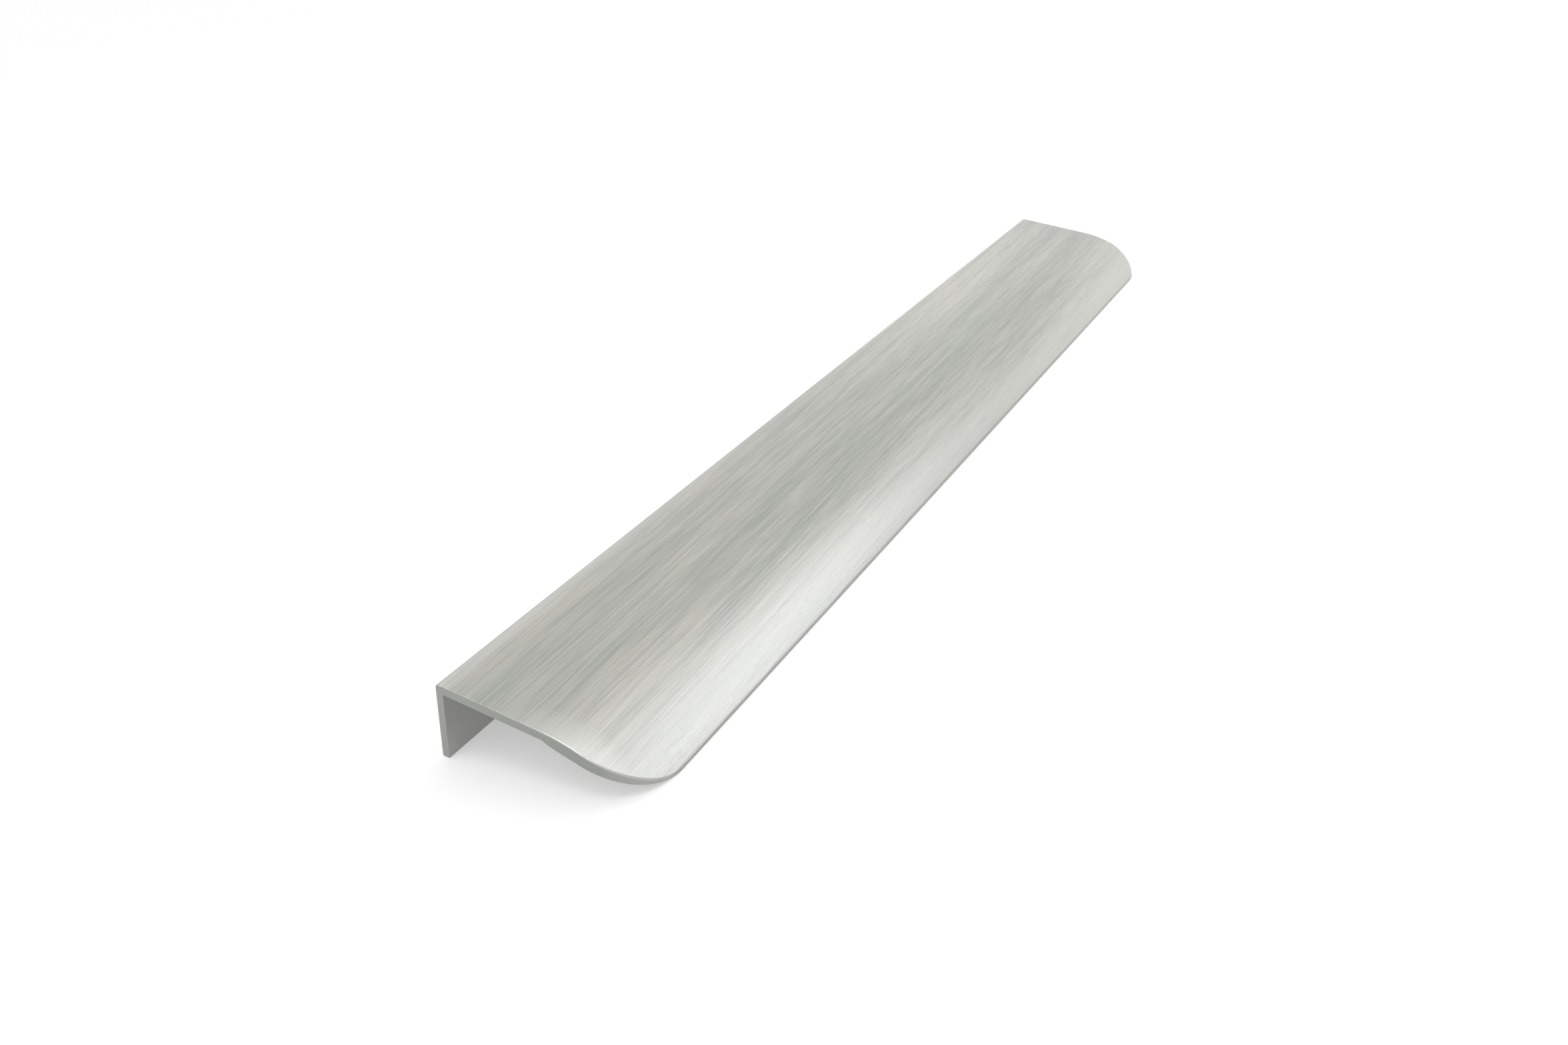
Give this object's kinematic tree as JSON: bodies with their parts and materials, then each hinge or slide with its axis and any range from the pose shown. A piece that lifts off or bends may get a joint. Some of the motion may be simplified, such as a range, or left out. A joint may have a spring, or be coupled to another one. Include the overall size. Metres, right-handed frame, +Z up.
{
  "type": "handleless finger pull profile",
  "caption": "Brushed aluminium edge profile for a cabinet front: a short screw-on leg, a flat plate and a down-curved lip with rounded corners to pull on with the fingers.",
  "frame": {"origin": "middle of the footprint, on the floor that the profile rests on", "axes": "+X along the length, lip's nose towards -Y and leg towards +Y, +Z up, lying on nose and leg"},
  "size_m": [0.256, 0.0382, 0.0142],
  "materials": {
    "brushed_aluminium": "brushed along its length"
  },
  "bodies": {
    "root": {"pull_profile": "brushed_aluminium"}
  },
  "joints": []
}
